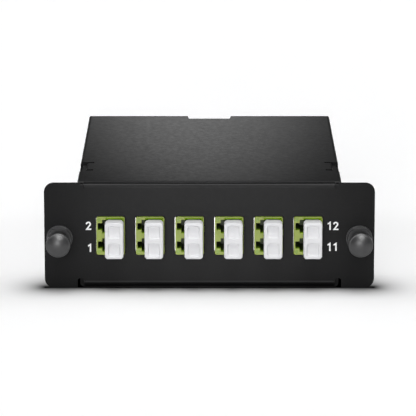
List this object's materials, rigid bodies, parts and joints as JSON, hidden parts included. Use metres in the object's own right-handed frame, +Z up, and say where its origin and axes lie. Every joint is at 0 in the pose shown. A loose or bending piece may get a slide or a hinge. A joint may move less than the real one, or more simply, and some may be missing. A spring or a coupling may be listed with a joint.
{
  "type": "fibre cassette",
  "caption": "Folded black steel fibre cassette with capped front ports, one rear trunk port, inner fibres and two push-pull latches.",
  "frame": {"origin": "middle of the panel's back face, which seats on the rack frame", "axes": "+X right, +Y to the back of the cassette, +Z up"},
  "size_m": [0.109, 0.1377, 0.0356],
  "materials": {
    "black_powder_coat": "fine matt texture",
    "lime_plastic": "satin",
    "white_plastic": "satin",
    "black_nylon": "satin",
    "black_plastic": "satin",
    "spring_steel": "bright",
    "black_steel": "black zinc",
    "white_ceramic": "polished",
    "blue_plastic": "satin",
    "aqua_jacket": "satin",
    "fibre_jacket": "satin"
  },
  "bodies": {
    "cassette": {"chassis": "black_powder_coat", "lid": "black_powder_coat", "lid_screws": "black_steel", "rear_adapter": "black_plastic", "rear_adapter_screws": "black_steel", "trunk_plug": "black_plastic", "trunk_ferrule": "black_plastic", "trunk_boot": "black_plastic", "fibre_bundle": "aqua_jacket", "bundle_clip": "white_plastic", "fan_out_block": "black_plastic", "fan_out_clip": "white_plastic", "alignment_sleeves": "white_ceramic", "plug_ferrules": "white_ceramic", "plug_boots": "white_plastic", "grommet_left": "black_nylon", "grommet_right": "black_nylon", "adapter_1": "lime_plastic", "adapter_clip_1": "spring_steel", "fibre_pair_1": "fibre_jacket", "adapter_2": "lime_plastic", "adapter_clip_2": "spring_steel", "fibre_pair_2": "fibre_jacket", "adapter_3": "lime_plastic", "adapter_clip_3": "spring_steel", "fibre_pair_3": "fibre_jacket", "adapter_4": "lime_plastic", "adapter_clip_4": "spring_steel", "fibre_pair_4": "fibre_jacket", "adapter_5": "lime_plastic", "adapter_clip_5": "spring_steel", "fibre_pair_5": "fibre_jacket", "adapter_6": "lime_plastic", "adapter_clip_6": "spring_steel", "fibre_pair_6": "fibre_jacket", "inner_plug_1": "blue_plastic", "inner_plug_2": "blue_plastic", "inner_plug_3": "blue_plastic", "inner_plug_4": "blue_plastic", "inner_plug_5": "blue_plastic", "inner_plug_6": "blue_plastic", "inner_plug_7": "blue_plastic", "inner_plug_8": "blue_plastic", "inner_plug_9": "blue_plastic", "inner_plug_10": "blue_plastic", "inner_plug_11": "blue_plastic", "inner_plug_12": "blue_plastic"},
    "plunger_left_body": {"plunger_left": "black_nylon"},
    "plunger_right_body": {"plunger_right": "black_nylon"},
    "rear_dust_cap_body": {"rear_dust_cap": "white_plastic"},
    "trunk_sleeve_body": {"trunk_sleeve": "aqua_jacket"},
    "dust_cap_1_body": {"dust_cap_1": "white_plastic"},
    "dust_cap_2_body": {"dust_cap_2": "white_plastic"},
    "dust_cap_3_body": {"dust_cap_3": "white_plastic"},
    "dust_cap_4_body": {"dust_cap_4": "white_plastic"},
    "dust_cap_5_body": {"dust_cap_5": "white_plastic"},
    "dust_cap_6_body": {"dust_cap_6": "white_plastic"}
  },
  "joints": [
    {"name": "plunger_left_push", "type": "slide", "parent": "cassette", "child": "plunger_left_body", "axis": [0, 1, 0], "range_m": [0, 0.0064]},
    {"name": "plunger_right_push", "type": "slide", "parent": "cassette", "child": "plunger_right_body", "axis": [0, 1, 0], "range_m": [0, 0.0064]},
    {"name": "dust_cap_1_pull", "type": "slide", "parent": "cassette", "child": "dust_cap_1_body", "axis": [0, -1, 0], "range_m": [0, 0.01]},
    {"name": "dust_cap_2_pull", "type": "slide", "parent": "cassette", "child": "dust_cap_2_body", "axis": [0, -1, 0], "range_m": [0, 0.01]},
    {"name": "dust_cap_3_pull", "type": "slide", "parent": "cassette", "child": "dust_cap_3_body", "axis": [0, -1, 0], "range_m": [0, 0.01]},
    {"name": "dust_cap_4_pull", "type": "slide", "parent": "cassette", "child": "dust_cap_4_body", "axis": [0, -1, 0], "range_m": [0, 0.01]},
    {"name": "dust_cap_5_pull", "type": "slide", "parent": "cassette", "child": "dust_cap_5_body", "axis": [0, -1, 0], "range_m": [0, 0.01]},
    {"name": "dust_cap_6_pull", "type": "slide", "parent": "cassette", "child": "dust_cap_6_body", "axis": [0, -1, 0], "range_m": [0, 0.01]},
    {"name": "rear_dust_cap_pull", "type": "slide", "parent": "cassette", "child": "rear_dust_cap_body", "axis": [0, 1, 0], "range_m": [0, 0.01]},
    {"name": "trunk_sleeve_slide", "type": "slide", "parent": "cassette", "child": "trunk_sleeve_body", "axis": [0, -1, 0], "range_m": [0, 0.002], "stiffness_N_per_m": 400, "springref_m": -0.002}
  ]
}
